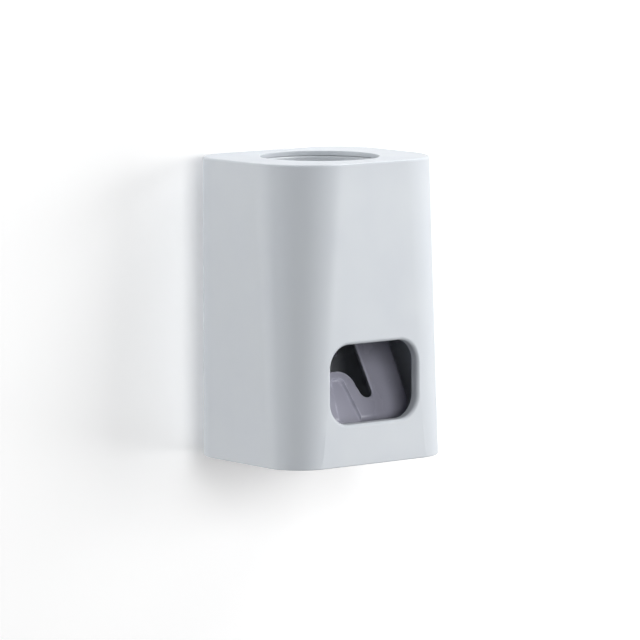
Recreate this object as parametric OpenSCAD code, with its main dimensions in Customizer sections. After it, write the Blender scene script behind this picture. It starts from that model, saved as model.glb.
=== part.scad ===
// Wall-hung toothpaste dispenser with a push lever and a squeezed pump.
// A tube of toothpaste stands upside down in the round hole on top. A brush pushed into the window
// swings the lever, whose roller squeezes the pump sleeve, and paste drops from the nozzle.
// Housing frame: back face at y = 0, foot at z = 0, front towards -y. placed() moves it to the wall.

/* [Housing] */
// Width of the housing
body_w = 76; // [74:1:90]
// Depth of the housing, from its back face to its front face
body_d = 64; // [62:1:74]
// Height of the housing
body_h = 110; // [108:1:130]
// Wall thickness of the housing
wall = 2.6; // [2:0.1:3]
// Thickness of the top plate
top_t = 1.7; // [1.5:0.1:3]
// Radius of the two upright corners at the back
back_corner_r = 17.4; // [14:0.2:19]
// Radius of the two front corners at the top edge
front_corner_top_r = 23.5; // [18:0.5:25]
// Radius of the two front corners at the foot
front_corner_foot_r = 16.4; // [14:0.2:18]
// Angle of the crease where the flat front meets a corner at the foot
crease_angle = 6; // [0:1:10]
// Height at which the creases have faded away
crease_h = 55; // [40:1:80]
// Rounding of the top edge
top_edge_r = 1; // [0.5:0.1:1.4]
// Rounding of the foot edge
foot_edge_r = 0.5; // [0.3:0.1:1]
// Diameter of the round hole for the toothpaste tube
tube_hole_d = 43.7; // [43:0.1:45]

/* [Brush window] */
// Clear width of the window
window_w = 40.4; // [34:0.2:41]
// Clear height of the window
window_h = 29; // [24:0.5:30]
// Corner radius of the window
window_r = 8.5; // [5:0.5:11]
// Height of the lower edge of the window above the foot
window_foot = 15.3; // [12:0.1:16]
// Rounding of the outer edge of the window
window_edge_r = 1.3; // [0.5:0.1:1.5]
// Depth of the window from the front face to the end of its collar
window_depth = 3.5; // [3.2:0.1:4]
// Wall of the collar inside the window
collar_t = 1.5; // [1:0.1:2]

/* [Wall mounting] */
// Wide side of the dovetail plate on the wall
plate_w = 30; // [26:1:31]
// Height of the dovetail plate
plate_h = 48; // [44:1:50]
// Thickness of the dovetail plate
plate_t = 3; // [2.6:0.1:3.4]
// How far each flank of the dovetail runs in
plate_undercut = 1.6; // [1.2:0.1:2]
// Thickness of the adhesive pad
pad_t = 0.8; // [0.6:0.1:1.2]
// Gap between the dovetail plate and its channel
hang_gap = 0.3; // [0.25:0.05:0.4]
// Distance of each wall screw from its end of the plate
wall_screw_inset = 8; // [7:0.5:14]
// Diameter of the wall screw holes
wall_screw_d = 4.2; // [3.6:0.1:4.6]

/* [Pump] */
// Inner diameter of the guide sleeve round the tube
guide_inner_d = 42; // [41:0.1:42.4]
// Bore of the soft seal that grips the neck of the tube
neck_bore_d = 10; // [9:0.2:11]
// Outer radius of the silicone pump sleeve
sleeve_r = 10; // [9.4:0.1:10.4]
// Wall of the pump sleeve
sleeve_t = 1.6; // [1.2:0.1:2]
// Bore of the nozzle
nozzle_bore_d = 6; // [5:0.2:6.6]
// Radius of the press roller
roller_r = 4; // [3.4:0.1:4.2]
// Gap between the roller and the pump sleeve at rest
press_gap = 0.3; // [0.25:0.05:0.5]

/* [Lever] */
// Gap between each arm of the lever and the inside of the side wall
lever_side_gap = 5.1; // [4.5:0.1:6]
// Lean of the lever plate from the upright
lever_lean = 31; // [27:1:33]
// Setback of the foot of the lever from the front face
lever_setback = 13; // [11:0.5:14]
// Height of the foot of the lever above the foot of the housing
lever_foot_z = 13.4; // [12:0.1:15]
// Length of the lever plate along its lean
lever_len = 33; // [31:0.5:34]
// Thickness of the lever plate
lever_t = 2.4; // [2:0.1:3]
// Corner radius at the foot of the lever
lever_corner_r = 10.5; // [8:0.5:12]
// Distance of the slots' outer edges from the middle
slot_outer_x = 13.7; // [13.5:0.1:15]
// Width of each slot at its round end
slot_w = 5.1; // [4:0.1:5.6]
// Height of the lower end of the slots along the lever plate
slot_foot = 9.6; // [8:0.2:11]
// Height of the top of the middle tongue along the lever plate
tongue_top = 21; // [19:0.5:23]
// Corner radius of the tongue's top
tongue_r = 6.7; // [5:0.1:7]
// Depth of the dish in the tongue
dish_depth = 1; // [0.6:0.1:1.4]
// Diameter of the steel pivot pins
pivot_d = 3; // [2.6:0.1:3.4]
// Running clearance of the pins, on the radius
running_gap = 0.05; // [0.03:0.01:0.08]

/* [Hidden] */
$fn = 48;

// Overrun of every cut
cut = 1;
// Gap between moulded pieces that fit into each other
fit_gap = 0.3;
// Sink of an added feature into the piece that carries it
seat = 0.5;
// Steps of the drawn arcs
front_steps = 12;
back_steps = 10;
edge_steps = 4;
window_steps = 8;
lever_steps = 7;

// Pump, stacked from the lower ring at the top of the window up to the deck
pump_y = -body_d / 2;
ring_lap = 1.3;
ring_h = 6;
squeeze_h = 13.5;
socket_h = 11;
cup_depth = 12.5;
ring_foot_z = window_foot + window_h - ring_lap;
ring_top_z = ring_foot_z + ring_h;
socket_foot_z = ring_top_z + squeeze_h;
cup_floor_z = socket_foot_z + socket_h;
deck_z = cup_floor_z + cup_depth;

// Dovetail plate and its channel
plate_drop = 7;
plate_top_z = deck_z - plate_drop;
plate_z = plate_top_z - plate_h;
plate_mid_z = plate_z + plate_h / 2;
wall_screw_heights = [plate_z + wall_screw_inset, plate_top_z - wall_screw_inset];
screw_head_d = 7.8;
plate_relief_x = 4;
plate_relief_w = 5;
plate_relief_inset = 7;
plate_relief_h = plate_h - 2 * plate_relief_inset;
plate_relief_d = 1;
channel_floor_gap = 0.4;
channel_floor_y = -(plate_t + channel_floor_gap);
channel_top_z = plate_top_z + hang_gap;
channel_cap = 3;
rail_back_y = -0.2;
rail_t = 1.4;
notch_half_w = plate_w / 2 + hang_gap + rail_t + fit_gap;
notch_top_z = channel_top_z + channel_cap;

// Adhesive pad
pad_side_inset = 0.5;
pad_end_inset = 2;
pad_w = plate_w - 2 * (plate_undercut + pad_side_inset);
pad_h = plate_h - 2 * pad_end_inset;
pad_r = 4;
pad_hole_gap = 1.3;
pad_hole_d = wall_screw_d + 2 * pad_hole_gap;

// Rear cover
cover_wall_gap = 0.2;
cover_back_y = -(wall + cover_wall_gap);
cover_t = 3;
cover_front_y = cover_back_y - cover_t;
cover_corner_lap = 0.9;
cover_half_w = body_w / 2 - back_corner_r + cover_corner_lap;
cover_foot_z = 3.4;
cover_lap = 3.4;
cover_top_z = notch_top_z + cover_lap;
cover_rib_t = 1.2;
cover_rib_h = 1.6;

// Self-tapping screws
screw_r = 1.45;
screw_len = 10;
screw_head_r = 2.8;
screw_head_h = 1.5;
screw_x = 9;
screw_pilot_gap = 0.02;
drive_w = 0.8;
drive_len = 3.2;
drive_depth = 0.7;
boss_r = 3.6;
boss_rise = 2;
boss_clear = 1;
upper_boss_z = cup_floor_z + boss_rise;
lower_boss_z = ring_top_z + boss_clear;

// Deck, seal cup, socket and lower ring of the core frame
deck_t = 2.5;
deck_gap = 0.4;
deck_rib_t = 1.6;
deck_rib_h = 5;
cup_r = 20;
cup_t = 2.5;
cup_floor_t = 2.5;
cup_hole_r = 7.5;
socket_r = 14.5;
socket_bore_r = 11.5;
ring_r = 13.2;
spine_t = 3;
spine_front_y = pump_y + sleeve_r + fit_gap;
spine_half_w = 12.4;

// Room from the pump to the side wall: side plate, spring, web of the lever, pin head
cheek_gap = 1.5;
cheek_t = 3;
web_t = 4;
pin_head_r = 3;
pin_head_t = 1.5;
pin_end_gap = 0.4;
side_room = body_w / 2 - wall - socket_r;
side_free = side_room - cheek_gap - cheek_t - web_t - pin_end_gap - pin_head_t;
spring_room_share = 11 / 21;
cheek_x = socket_r + cheek_gap;
web_x = cheek_x + cheek_t + side_free * spring_room_share;

// Pivot of the lever
pivot_ahead = 8;
pivot_rise = 9.5;
pivot_y = pump_y - pivot_ahead;
pivot_z = socket_foot_z + pivot_rise;
cheek_ahead = 7;
cheek_behind = 8;
cheek_below = 6;
cheek_front_y = pivot_y - cheek_ahead;
cheek_back_y = pump_y + cheek_behind;
cheek_foot_z = pivot_z - cheek_below;
pivot_boss_r = 4;
pivot_boss_len = 2;
eye_r = 5;

// Return springs, wound round the pivot pins
spring_wire_r = 0.4;
spring_r = 2.6;
spring_pitch = 1.25;
spring_side_gap = 0.5;
spring_sides = 6;
spring_steps = 8;
spring_x = cheek_x + cheek_t + spring_side_gap + spring_wire_r;
spring_turns = floor((web_x - spring_x - spring_wire_r) / spring_pitch);
spring_top_gap = 1.5;
spring_leg_up = deck_z - deck_t - spring_top_gap - pivot_z;
spring_leg_down = 14;
peg_r = 1;
peg_len = 2;
peg_gap = 0.2;
peg_setback = 1;
peg_up_z = pivot_z + spring_leg_up - peg_setback;
lug_r = 1.2;
lug_setback = 2;
lug_down_z = pivot_z - spring_leg_down + lug_setback;

// Tube guide
guide_t = 1.5;
guide_top_gap = 0.2;
guide_flange_r = 24.8;
guide_flange_t = 1.5;
guide_chamfer = 0.5;
guide_top_z = body_h - top_t - guide_top_gap;
collar_ring_gap = 0.3;
collar_ring_t = 1.5;
collar_ring_share = 0.18;
collar_ring_h = (guide_top_z - deck_z) * collar_ring_share;

// Neck seal and its ring
seal_inset = 0.8;
seal_flange_r = cup_r - seal_inset;
seal_flange_t = 2;
seal_mouth_r = 15.4;
seal_wall = 1.8;
seal_throat_rise = 3.6;
seal_throat_z = cup_floor_z + seal_throat_rise;
seal_foot_drop = 1.4;
seal_foot_z = cup_floor_z - seal_foot_drop;
seal_lip_r = 0.7;
ring_inner_r = 16.6;
ring_t = 2.4;
ring_lug_w = 4;
ring_lug_h = 1;
ring_lug_count = 4;

// Valve seat, inlet valve and clamp ring of the sleeve
socket_gap = 0.2;
valve_seat_t = 3.4;
valve_seat_z = cup_floor_z - cup_floor_t - socket_gap - valve_seat_t;
valve_stem_r = 1.2;
valve_port_r = 1.7;
valve_port_pitch_r = 5.2;
valve_port_count = 6;
valve_disc_r = 7.4;
valve_disc_t = 1.2;
valve_knob_r = 1.9;
valve_knob_h = 1.2;
bead_t = 2.4;
sleeve_top_z = valve_seat_z - socket_gap;
clamp_t = 2.6;

// Nozzle group
nozzle_rise = 1;
nozzle_flange_t = 2.6;
nozzle_flange_z = ring_foot_z + nozzle_rise;
sleeve_foot_z = nozzle_flange_z + nozzle_flange_t + socket_gap;
nozzle_wall = 1.6;
nozzle_len = 5;
retainer_t = 1.6;
outlet_flange_t = 1.2;
outlet_lip_r = 2.2;
outlet_lip_h = 3.4;
outlet_slit_w = 0.5;
cap_wall = 1.5;
cap_floor_t = 1.2;
cap_gap = 0.15;
cap_rib_r = 0.5;
cap_rib_count = 12;

// Press roller and its pin, at the middle of the sleeve
roller_y = pump_y - sleeve_r - press_gap - roller_r;
roller_z = (sleeve_foot_z + sleeve_top_z) / 2;
roller_half_len = 9.7;
roller_pin_r = 1.25;
ear_gap = 0.5;
ear_x = roller_half_len + ear_gap;
ear_t = 2.5;
ear_r = 3.5;
press_fit_gap = 0.02;

// Cross bar of the lever
bar_t = 3;
bar_back_gap = 0.7;
bar_front_y = roller_y - roller_r - bar_back_gap - bar_t;
bar_h = 10;
bar_z = roller_z - bar_h / 2;

// Stop pads
stop_x = 16;
stop_r = 3;
stop_t = 1.2;
stop_gap = 0.3;
stop_post_r = 3.6;
stop_post_y = bar_front_y - stop_gap - stop_t;

// Lever plate
lever_w = body_w - 2 * (wall + lever_side_gap);
lever_edge_r = 1.3;
lever_rim_t = 1.6;
lever_rim_d = 4.5;
tongue_half_w = slot_outer_x - slot_w;
tongue_taper = 0.7;
dish_foot_w = 11.2;
dish_top_w = 6;
dish_top_inset = 2.8;
dish_top = tongue_top - dish_top_inset;
dish_r = 2;
web_rear = 8;

// Bottom cover
bottom_z = 0.8;
bottom_t = 2;
bottom_gap = 0.25;
bottom_rib_t = 1.2;
bottom_rib_h = 3;
bottom_rib_inset = 7;
hook_w = 8;
hook_h = 6;
hook_t = 1.4;
hook_nose = 0.6;
hook_nose_h = 2;
hook_gap = 0.2;
hook_top_z = bottom_z + bottom_t + hook_h;
pull_w = 18;
pull_d = 6;
foot_stop_w = 6;
foot_stop_pitch = 26;
foot_stop_h = 4;
foot_stop_t = 1.6;

// Colours
shell_colour = [0.80, 0.82, 0.84];
lever_colour = [0.66, 0.66, 0.70];
frame_colour = [0.35, 0.36, 0.40];
silicone_colour = [0.88, 0.88, 0.86];
steel_colour = [0.72, 0.73, 0.75];
rubber_colour = [0.16, 0.16, 0.17];

function lerp(a, b, share) = a + (b - a) * share;
function arc(centre, r, from, to, steps) =
    [for (i = [0:steps]) let (a = lerp(from, to, i / steps)) centre + r * [cos(a), sin(a)]];
function mirrored(points) = [for (i = [len(points) - 1:-1:0]) [-points[i].x, points[i].y]];
function lift(points, z) = [for (p = points) [p.x, p.y, z]];

// Plan of the housing at a height, drawn in by an inset on every side
function corner_r(z) = lerp(front_corner_foot_r, front_corner_top_r, z / body_h);
function crease(z) = crease_angle * max(0, 1 - z / crease_h);
function plan_right(z, inset) =
    let (r = corner_r(z), reach = r * cos(crease(z)), x = body_w / 2,
        sweep = asin(min(1, (reach - inset) / (r - inset))))
    concat(
        arc([x - r, reach - body_d], r - inset, -sweep, 0, front_steps),
        arc([x - back_corner_r, -back_corner_r], back_corner_r - inset, 0, 90, back_steps));
function plan(z, inset) = concat(plan_right(z, inset), mirrored(plan_right(z, inset)));

// Upright rectangle with round corners, about the middle of the window
function window_plan(grow) =
    let (x = window_w / 2 - window_r, y = window_h / 2 - window_r, r = window_r + grow)
    concat(
        arc([x, -y], r, -90, 0, window_steps), arc([x, y], r, 0, 90, window_steps),
        arc([-x, y], r, 90, 180, window_steps), arc([-x, -y], r, 180, 270, window_steps));

// Outline of the lever plate, drawn in by an inset: foot corner, arm, slot, tongue
function lever_right(inset) =
    let (x = lever_w / 2, c = lever_corner_r, s = slot_w / 2, t = tongue_half_w - tongue_taper)
    concat(
        arc([x - c, c], c - inset, -90, 0, lever_steps),
        [[x - inset, lever_len - inset], [slot_outer_x + inset, lever_len - inset]],
        arc([slot_outer_x - s, slot_foot + s], s + inset, 360, 180, 2 * lever_steps),
        arc([t - tongue_r, tongue_top - tongue_r], tongue_r - inset, 0, 90, lever_steps));
function lever_plan(inset) = concat(lever_right(inset), mirrored(lever_right(inset)));

// Outline of the dish, open at the foot of the lever
function dish_right(grow) =
    let (foot = dish_foot_w / 2 + grow, top = dish_top_w / 2 + grow)
    concat([[foot + (foot - top) / dish_top * cut, -cut]],
        arc([top - dish_r, dish_top + grow - dish_r], dish_r, 0, 90, lever_steps));
function dish_plan(grow) = concat(dish_right(grow), mirrored(dish_right(grow)));

// Solid through a list of rings, which run anticlockwise seen from their last one, with flat ends;
// a closed one has no ends, its last ring joins the first
module skin(rings, closed = false) {
    n = len(rings[0]);
    count = len(rings);
    last = count - 1;
    sides = [for (k = [0:closed ? last : last - 1]) for (i = [0:n - 1])
        let (j = (i + 1) % n, low = k * n, high = (k + 1) % count * n)
        each [[low + i, high + i, high + j], [low + i, high + j, low + j]]];
    ends = closed ? [] : [[for (i = [0:n - 1]) i], [for (i = [n - 1:-1:0]) last * n + i]];
    polyhedron(points = [for (ring = rings) each ring], faces = concat(sides, ends));
}

// Moves the housing frame so that the adhesive pad's back face lies at y = 0, z = 0 at its middle
module placed() {
    translate([0, -pad_t, -plate_mid_z]) children();
}

// Copies a piece of the right side to the left
module both_sides() {
    children();
    mirror([1, 0, 0]) children();
}

// Cylinder along x, y or z from a start point
module rod_x(r, from, to, y, z) {
    translate([from, y, z]) rotate([0, 90, 0]) cylinder(h = to - from, r = r);
}
module rod_y(r, from, to, x, z) {
    translate([x, to, z]) rotate([90, 0, 0]) cylinder(h = to - from, r = r);
}
module rod_z(r, from, to, x, y) {
    translate([x, y, from]) cylinder(h = to - from, r = r);
}

// Box between two corners
module block(low, high) {
    translate(low) cube(high - low);
}

module pump_axis() {
    translate([0, pump_y, 0]) children();
}

// Housing
function shell_outside() = concat(
    [for (k = [0:edge_steps]) let (a = 90 * k / edge_steps, z = foot_edge_r * (1 - cos(a)))
        lift(plan(z, foot_edge_r * (1 - sin(a))), z)],
    [lift(plan(crease_h, 0), crease_h)],
    [for (k = [0:edge_steps]) let (a = 90 * k / edge_steps, z = body_h - top_edge_r * (1 - sin(a)))
        lift(plan(z, top_edge_r * (1 - cos(a))), z)]);

function shell_inside() = [for (z = [-cut, crease_h, body_h - top_t]) lift(plan(z, wall), z)];

module window_prism(grow, from, to) {
    translate([0, from, window_foot + window_h / 2]) rotate([90, 0, 0])
        linear_extrude(height = from - to) polygon(window_plan(grow));
}

// Rounded outer edge of the window, as a flare that runs out in front
module window_flare() {
    rings = [for (k = [0:edge_steps]) let (a = 90 * k / edge_steps)
        lift(window_plan(window_edge_r * (1 - cos(a))), window_edge_r * sin(a))];
    translate([0, window_edge_r - body_d, window_foot + window_h / 2]) rotate([90, 0, 0])
        skin(concat(rings, [lift(window_plan(window_edge_r), window_edge_r + cut)]));
}

module outer_shell() color(shell_colour) placed() difference() {
    union() {
        difference() {
            skin(shell_outside());
            skin(shell_inside());
        }
        window_prism(collar_t, window_depth - body_d, wall / 2 - body_d);
        guide_collar();
        both_sides() rod_y(stop_post_r, wall / 2 - body_d, stop_post_y, stop_x, roller_z);
        foot_stops();
    }
    pump_axis() rod_z(tube_hole_d / 2, body_h - top_t - cut, body_h + cut, 0, 0);
    window_prism(0, window_depth - body_d + cut, -body_d);
    window_flare();
    block([-notch_half_w, -wall - cut, -cut], [notch_half_w, cut, notch_top_z]);
    both_sides() block(
        [body_w / 2 - wall - cut, pump_y - hook_w / 2 - hook_gap, hook_top_z - hook_nose_h - hook_gap],
        [body_w / 2 - wall + hook_nose, pump_y + hook_w / 2 + hook_gap, hook_top_z + hook_gap]);
}

// Short collar under the top plate that centres the guide sleeve
module guide_collar() {
    inner = guide_inner_d / 2 + guide_t + collar_ring_gap;
    pump_axis() difference() {
        rod_z(inner + collar_ring_t, body_h - top_t - collar_ring_h, body_h - top_t / 2, 0, 0);
        rod_z(inner, body_h - top_t - collar_ring_h - cut, body_h + cut, 0, 0);
    }
}

// Small blocks on the side walls against which the bottom cover seats
module foot_stops() {
    x = body_w / 2 - wall - foot_stop_t;
    z = bottom_z + bottom_t + bottom_gap;
    both_sides() for (y = [pump_y - foot_stop_pitch / 2, pump_y + foot_stop_pitch / 2])
        block([x, y - foot_stop_w / 2, z],
            [body_w / 2 - wall / 2, y + foot_stop_w / 2, z + foot_stop_h]);
}

// Wall parts
module wall_plate() color(shell_colour) placed() difference() {
    half = plate_w / 2;
    translate([0, 0, plate_z]) linear_extrude(height = plate_h) polygon([
        [half - plate_undercut, 0], [half, -plate_t], [-half, -plate_t], [plate_undercut - half, 0]]);
    for (z = wall_screw_heights) {
        rod_y(wall_screw_d / 2, -plate_t - cut, cut, 0, z);
        translate([0, -plate_t, z]) rotate([-90, 0, 0])
            cylinder(h = (screw_head_d - wall_screw_d) / 2, d1 = screw_head_d, d2 = wall_screw_d);
    }
    both_sides() block([plate_relief_x, -plate_relief_d, plate_mid_z - plate_relief_h / 2],
        [plate_relief_x + plate_relief_w, cut, plate_mid_z + plate_relief_h / 2]);
}

module adhesive_pad() color(rubber_colour) placed() difference() {
    x = pad_w / 2 - pad_r;
    y = pad_h / 2 - pad_r;
    translate([0, 0, plate_mid_z]) rotate([-90, 0, 0]) linear_extrude(height = pad_t) polygon(concat(
        arc([x, -y], pad_r, -90, 0, window_steps), arc([x, y], pad_r, 0, 90, window_steps),
        arc([-x, y], pad_r, 90, 180, window_steps), arc([-x, -y], pad_r, 180, 270, window_steps)));
    for (z = wall_screw_heights)
        rod_y(pad_hole_d / 2, -cut, pad_t + cut, 0, z);
}

module screw_places() {
    for (z = [lower_boss_z, upper_boss_z]) both_sides() translate([screw_x, 0, z]) children();
}

module rear_cover() color(shell_colour) placed() difference() {
    union() {
        block([-cover_half_w, cover_front_y, cover_foot_z], [cover_half_w, cover_back_y, cover_top_z]);
        block([-notch_half_w + fit_gap, cover_front_y, cover_foot_z],
            [notch_half_w - fit_gap, rail_back_y, notch_top_z - fit_gap]);
        both_sides() block([notch_half_w - fit_gap - rail_t - plate_undercut, cover_back_y, 0],
            [notch_half_w - fit_gap, rail_back_y, cover_foot_z + seat]);
        both_sides() block([cover_half_w - cover_rib_t, cover_front_y - cover_rib_h, cover_foot_z],
            [cover_half_w, cover_front_y + seat, ring_top_z]);
    }
    channel();
    screw_places() {
        rod_y(screw_r + fit_gap, cover_front_y - cut, 0, 0, 0);
        translate([0, channel_floor_y, 0]) rotate([90, 0, 0])
            cylinder(h = screw_head_h, r1 = screw_head_r + screw_pilot_gap, r2 = screw_r + fit_gap);
        rod_y(screw_head_r + screw_pilot_gap, channel_floor_y, 0, 0, 0);
    }
}

// Dovetail channel, open at the foot
module channel() {
    gap = hang_gap;
    half = plate_w / 2;
    slope = plate_undercut / plate_t;
    wide = half + gap + slope * (-channel_floor_y - plate_t);
    narrow = half + gap - slope * plate_t;
    outer = narrow - slope * cut;
    translate([0, 0, -cut]) linear_extrude(height = channel_top_z + cut) polygon([
        [outer, cut], [narrow, 0], [wide, channel_floor_y],
        [-wide, channel_floor_y], [-narrow, 0], [-outer, cut]]);
}

module rear_cover_screws() color(steel_colour) placed() screw_places() difference() {
    union() {
        translate([0, channel_floor_y, 0]) rotate([90, 0, 0])
            cylinder(h = screw_head_h, r1 = screw_head_r, r2 = screw_r);
        rod_y(screw_r, channel_floor_y - screw_len, channel_floor_y - screw_head_h / 2, 0, 0);
    }
    block([-drive_w / 2, channel_floor_y - drive_depth, -drive_len / 2],
        [drive_w / 2, channel_floor_y + cut, drive_len / 2]);
    block([-drive_len / 2, channel_floor_y - drive_depth, -drive_w / 2],
        [drive_len / 2, channel_floor_y + cut, drive_w / 2]);
}

module bottom_cover() color(shell_colour) placed() {
    inset = wall + bottom_gap;
    hook_x = body_w / 2 - inset;
    difference() {
        union() {
            translate([0, 0, bottom_z]) linear_extrude(height = bottom_t)
                polygon(plan(bottom_z, inset));
            difference() {
                translate([0, 0, bottom_z + seat])
                    linear_extrude(height = bottom_t - seat + bottom_rib_h)
                        polygon(plan(bottom_z, bottom_rib_inset));
                translate([0, 0, bottom_z + bottom_t]) linear_extrude(height = bottom_rib_h + cut)
                    polygon(plan(bottom_z, bottom_rib_inset + bottom_rib_t));
            }
        }
        block([-notch_half_w, channel_floor_y - fit_gap, -cut],
            [notch_half_w, cut, bottom_z + bottom_t + cut]);
        block([-cover_half_w - fit_gap, cover_front_y - cover_rib_h - fit_gap, bottom_z + bottom_t],
            [cover_half_w + fit_gap, cut, bottom_z + bottom_t + bottom_rib_h + cut]);
        block([-pull_w / 2, pump_y, -cut], [pull_w / 2, pump_y + pull_d, bottom_z + bottom_t / 2]);
    }
    both_sides() translate([0, pump_y + hook_w / 2, 0]) rotate([90, 0, 0])
        linear_extrude(height = hook_w) polygon([
            [hook_x - hook_t, bottom_z + bottom_t - seat], [hook_x, bottom_z + bottom_t - seat],
            [hook_x, hook_top_z - hook_nose_h], [hook_x + hook_nose, hook_top_z - hook_nose_h / 2],
            [hook_x, hook_top_z], [hook_x - hook_t, hook_top_z]]);
}

// Pump, from the top down
module tube_guide() color(frame_colour) placed() pump_axis() {
    inner = guide_inner_d / 2;
    rotate_extrude() polygon([
        [inner, deck_z], [guide_flange_r, deck_z], [guide_flange_r, deck_z + guide_flange_t],
        [inner + guide_t, deck_z + guide_flange_t], [inner + guide_t, guide_top_z],
        [inner + guide_chamfer, guide_top_z], [inner, guide_top_z - guide_chamfer]]);
}

module deck() {
    difference() {
        translate([0, 0, deck_z - deck_t]) linear_extrude(height = deck_t)
            polygon(plan(deck_z, wall + deck_gap));
        block([-cover_half_w - deck_gap, cover_front_y - deck_gap, deck_z - deck_t - cut],
            [cover_half_w + deck_gap, cut, deck_z + cut]);
    }
}

module core_frame() color(frame_colour) placed() difference() {
    union() {
        deck();
        deck_ribs();
        pump_axis() {
            rod_z(cup_r, cup_floor_z - cup_floor_t, deck_z, 0, 0);
            rod_z(socket_r, socket_foot_z, cup_floor_z, 0, 0);
            rod_z(ring_r, ring_foot_z, ring_top_z, 0, 0);
        }
        block([-spine_half_w, spine_front_y, ring_foot_z],
            [spine_half_w, spine_front_y + spine_t, cup_floor_z]);
        screw_places() rod_y(boss_r, spine_front_y + spine_t / 2, cover_front_y - socket_gap, 0, 0);
        cheeks();
    }
    pump_axis() {
        rod_z(cup_r - cup_t, cup_floor_z, deck_z + cut, 0, 0);
        rod_z(cup_hole_r, cup_floor_z - cup_floor_t - cut, cup_floor_z + cut, 0, 0);
        rod_z(socket_bore_r, socket_foot_z - cut, cup_floor_z - cup_floor_t, 0, 0);
        rod_z(socket_bore_r, ring_foot_z - cut, ring_top_z + cut, 0, 0);
    }
    screw_places() rod_y(screw_r + screw_pilot_gap, channel_floor_y - screw_len - seat, 0, 0, 0);
    both_sides() rod_x(pivot_d / 2 + press_fit_gap, cheek_x - pivot_boss_len - cut,
        cheek_x + cheek_t + cut, pivot_y, pivot_z);
}

// Ribs that stiffen the deck on each side of the cup
module deck_ribs() {
    far = body_w / 2 - wall - deck_gap - deck_rib_t;
    both_sides() block([cup_r - cup_t / 2, pump_y - deck_rib_t / 2, deck_z - deck_t - deck_rib_h],
        [far, pump_y + deck_rib_t / 2, deck_z - deck_t / 2]);
    block([-deck_rib_t / 2, deck_rib_t - body_d + wall + deck_gap, deck_z - deck_t - deck_rib_h],
        [deck_rib_t / 2, pump_y - cup_r + cup_t / 2, deck_z - deck_t / 2]);
}

// Side plates that hang from the deck and carry the pivot pins and the spring pegs
module cheeks() {
    both_sides() {
        block([cheek_x, cheek_front_y, cheek_foot_z], [cheek_x + cheek_t, cheek_back_y, deck_z - deck_t / 2]);
        rod_x(pivot_boss_r, cheek_x - pivot_boss_len, cheek_x + cheek_t / 2, pivot_y, pivot_z);
        rod_x(peg_r, cheek_x + cheek_t / 2, cheek_x + cheek_t + peg_len, peg_y(peg_r), peg_up_z);
        block([socket_r - seat, pump_y - cheek_t / 2, cheek_foot_z],
            [cheek_x + cheek_t / 2, pump_y + cheek_t / 2, cup_floor_z]);
    }
}

// Place of a peg of a given radius in front of a spring leg
function peg_y(r) = pivot_y - spring_r - spring_wire_r - peg_gap - r;

module neck_seal() color(silicone_colour) placed() pump_axis() {
    bore = neck_bore_d / 2;
    top = deck_z + seal_flange_t;
    rotate_extrude() polygon([
        [bore, seal_foot_z], [bore + seal_wall, seal_foot_z], [bore + seal_wall, seal_throat_z],
        [seal_mouth_r + seal_wall, deck_z], [seal_flange_r, deck_z], [seal_flange_r, top],
        [seal_mouth_r, top], [seal_mouth_r - seal_lip_r, top - seal_lip_r],
        [bore, seal_throat_z + seal_lip_r]]);
}

module seal_ring() color(frame_colour) placed() pump_axis() {
    foot = deck_z + seal_flange_t;
    difference() {
        rod_z(seal_flange_r, foot, foot + ring_t, 0, 0);
        rod_z(ring_inner_r, foot - cut, foot + ring_t + cut, 0, 0);
        for (k = [1:ring_lug_count]) rotate([0, 0, 360 * (k - 1 / 2) / ring_lug_count])
            block([ring_inner_r - cut, -ring_lug_w / 2, foot + ring_t - ring_lug_h],
                [ring_inner_r + ring_lug_h, ring_lug_w / 2, foot + ring_t + cut]);
    }
}

module valve_seat() color(frame_colour) placed() pump_axis() difference() {
    rod_z(socket_bore_r - socket_gap, valve_seat_z, valve_seat_z + valve_seat_t, 0, 0);
    rod_z(valve_stem_r, valve_seat_z - cut, valve_seat_z + valve_seat_t + cut, 0, 0);
    for (k = [1:valve_port_count]) rotate([0, 0, 360 * k / valve_port_count])
        rod_z(valve_port_r, valve_seat_z - cut, valve_seat_z + valve_seat_t + cut, valve_port_pitch_r, 0);
    rod_z(valve_disc_r + socket_gap, valve_seat_z - cut, valve_seat_z + valve_disc_t + socket_gap, 0, 0);
}

module inlet_valve() color(silicone_colour) placed() pump_axis() {
    foot = valve_seat_z;
    top = valve_seat_z + valve_seat_t;
    stem = valve_stem_r - press_fit_gap;
    rotate_extrude() polygon([
        [0, foot], [valve_disc_r, foot + valve_disc_t / 2], [valve_disc_r, foot + valve_disc_t],
        [stem, foot + valve_disc_t + press_fit_gap], [stem, top + press_fit_gap],
        [valve_knob_r, top + press_fit_gap], [stem, top + valve_knob_h], [0, top + valve_knob_h]]);
}

module sleeve_clamp() color(frame_colour) placed() pump_axis() difference() {
    top = sleeve_top_z - bead_t - socket_gap;
    rod_z(socket_bore_r - press_fit_gap, top - clamp_t, top, 0, 0);
    rod_z(sleeve_r + socket_gap, top - clamp_t - cut, top + cut, 0, 0);
}

module pump_sleeve() color(silicone_colour) placed() pump_axis() {
    bead = socket_bore_r - socket_gap;
    inner = sleeve_r - sleeve_t;
    rotate_extrude() polygon([
        [inner, sleeve_foot_z], [bead, sleeve_foot_z], [bead, sleeve_foot_z + bead_t],
        [sleeve_r, sleeve_foot_z + bead_t], [sleeve_r, sleeve_top_z - bead_t],
        [bead, sleeve_top_z - bead_t], [bead, sleeve_top_z], [inner, sleeve_top_z]]);
}

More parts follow.
